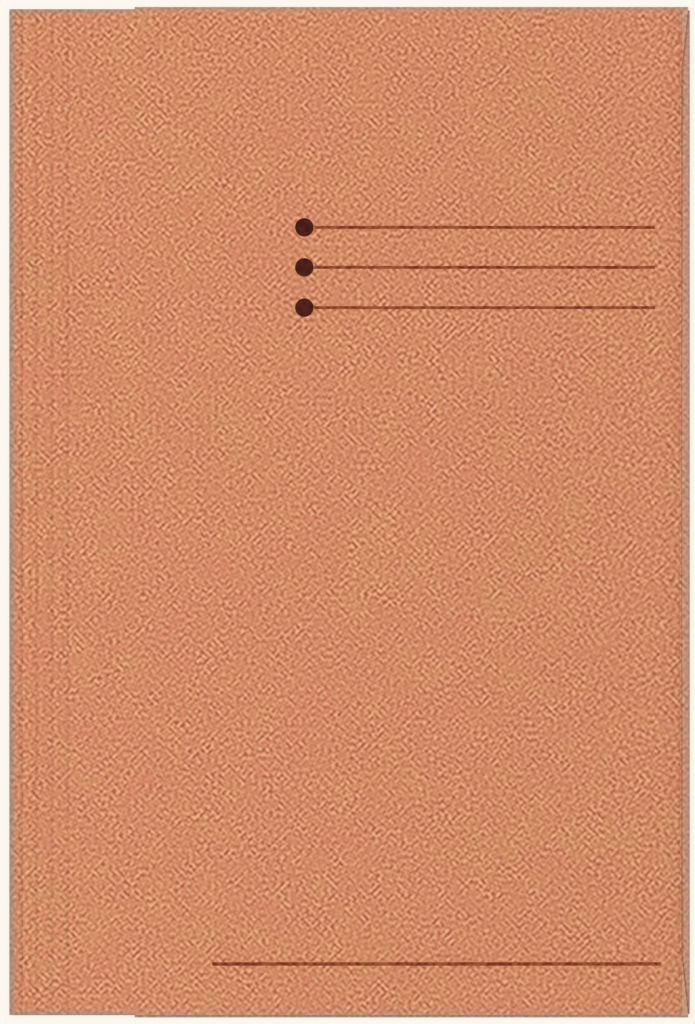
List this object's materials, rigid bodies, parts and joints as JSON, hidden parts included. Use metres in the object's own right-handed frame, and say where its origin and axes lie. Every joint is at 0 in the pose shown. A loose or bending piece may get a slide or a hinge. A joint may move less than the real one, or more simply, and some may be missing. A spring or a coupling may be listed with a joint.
{
  "type": "file folder",
  "caption": "Closed card file folder with a creased expanding spine, a hinged front cover and folding inner flaps for loose papers.",
  "frame": {"origin": "centre of the folder's outline, on the underside of the back that it lies on", "axes": "+X from the spine to the fore-edge, +Y up the front cover, +Z out of the front cover"},
  "size_m": [0.235, 0.349, 0.0025],
  "materials": {
    "outside_card": "matte",
    "flap_card": "matte"
  },
  "bodies": {
    "back": {"back_panel": "outside_card"},
    "back_strip_4": {"back_spine_strip_4": "outside_card"},
    "back_strip_3": {"back_spine_strip_3": "outside_card"},
    "back_strip_2": {"back_spine_strip_2": "outside_card"},
    "back_strip_1": {"back_spine_strip_1": "outside_card"},
    "front_strip_1": {"front_spine_strip_1": "outside_card"},
    "front_strip_2": {"front_spine_strip_2": "outside_card"},
    "front_strip_3": {"front_spine_strip_3": "outside_card"},
    "front_strip_4": {"front_spine_strip_4": "outside_card"},
    "cover": {"front_cover": "outside_card"},
    "side_flap": {"side_flap": "flap_card"},
    "top_flap": {"top_flap": "flap_card"},
    "bottom_flap": {"bottom_flap": "flap_card"}
  },
  "joints": [
    {"name": "spine_expand", "type": "slide", "parent": "back", "child": "back_strip_1", "axis": [0.2013, 0, 0.9795], "range_m": [0, 0.00745]},
    {"name": "cover_open", "type": "hinge", "parent": "back_strip_1", "child": "front_strip_1", "pos_m": [-0.11765, 0, 0.00125], "axis": [0, -1, 0], "range_deg": [0, 180]},
    {"name": "cover_rise", "type": "slide", "parent": "front_strip_1", "child": "cover", "axis": [-0.2013, 0, 0.9795], "range_m": [0, 0.00745]},
    {"name": "back_crease_4", "type": "hinge", "parent": "back", "child": "back_strip_4", "pos_m": [-0.0968, 0, 0.0004], "axis": [0, 1, 0], "range_deg": [0, 20]},
    {"name": "back_crease_3", "type": "hinge", "parent": "back_strip_4", "child": "back_strip_3", "pos_m": [-0.1022, 0, 0.0004], "axis": [0, 1, 0], "range_deg": [0, 20]},
    {"name": "back_crease_2", "type": "hinge", "parent": "back_strip_3", "child": "back_strip_2", "pos_m": [-0.1076, 0, 0.0004], "axis": [0, 1, 0], "range_deg": [-20, 0]},
    {"name": "front_crease_4", "type": "hinge", "parent": "cover", "child": "front_strip_4", "pos_m": [-0.0968, 0, 0.0021], "axis": [0, 1, 0], "range_deg": [-20, 0]},
    {"name": "front_crease_3", "type": "hinge", "parent": "front_strip_4", "child": "front_strip_3", "pos_m": [-0.1022, 0, 0.0021], "axis": [0, 1, 0], "range_deg": [-20, 0]},
    {"name": "front_crease_2", "type": "hinge", "parent": "front_strip_3", "child": "front_strip_2", "pos_m": [-0.1076, 0, 0.0021], "axis": [0, 1, 0], "range_deg": [0, 20]},
    {"name": "side_flap_fold", "type": "hinge", "parent": "back", "child": "side_flap", "pos_m": [0.11765, 0, 0.00055], "axis": [0, 1, 0], "range_deg": [0, 180]},
    {"name": "top_flap_fold", "type": "hinge", "parent": "back", "child": "top_flap", "pos_m": [0, 0.17465, 0.0009], "axis": [-1, 0, 0], "range_deg": [0, 180]},
    {"name": "bottom_flap_fold", "type": "hinge", "parent": "back", "child": "bottom_flap", "pos_m": [0, -0.17465, 0.0009], "axis": [1, 0, 0], "range_deg": [0, 180]}
  ],
  "couplings": [
    {"joint": "cover_rise", "follows": "spine_expand", "ratio": 1},
    {"joint": "back_crease_4", "follows": "spine_expand", "rad_per_m": 46.8},
    {"joint": "back_crease_3", "follows": "spine_expand", "rad_per_m": 46.8},
    {"joint": "back_crease_2", "follows": "spine_expand", "rad_per_m": -46.8},
    {"joint": "front_crease_4", "follows": "spine_expand", "rad_per_m": -46.8},
    {"joint": "front_crease_3", "follows": "spine_expand", "rad_per_m": -46.8},
    {"joint": "front_crease_2", "follows": "spine_expand", "rad_per_m": 46.8},
    {"joint": "side_flap_fold", "follows": "cover_open", "ratio": 1},
    {"joint": "top_flap_fold", "follows": "cover_open", "ratio": 1},
    {"joint": "bottom_flap_fold", "follows": "cover_open", "ratio": 1}
  ]
}
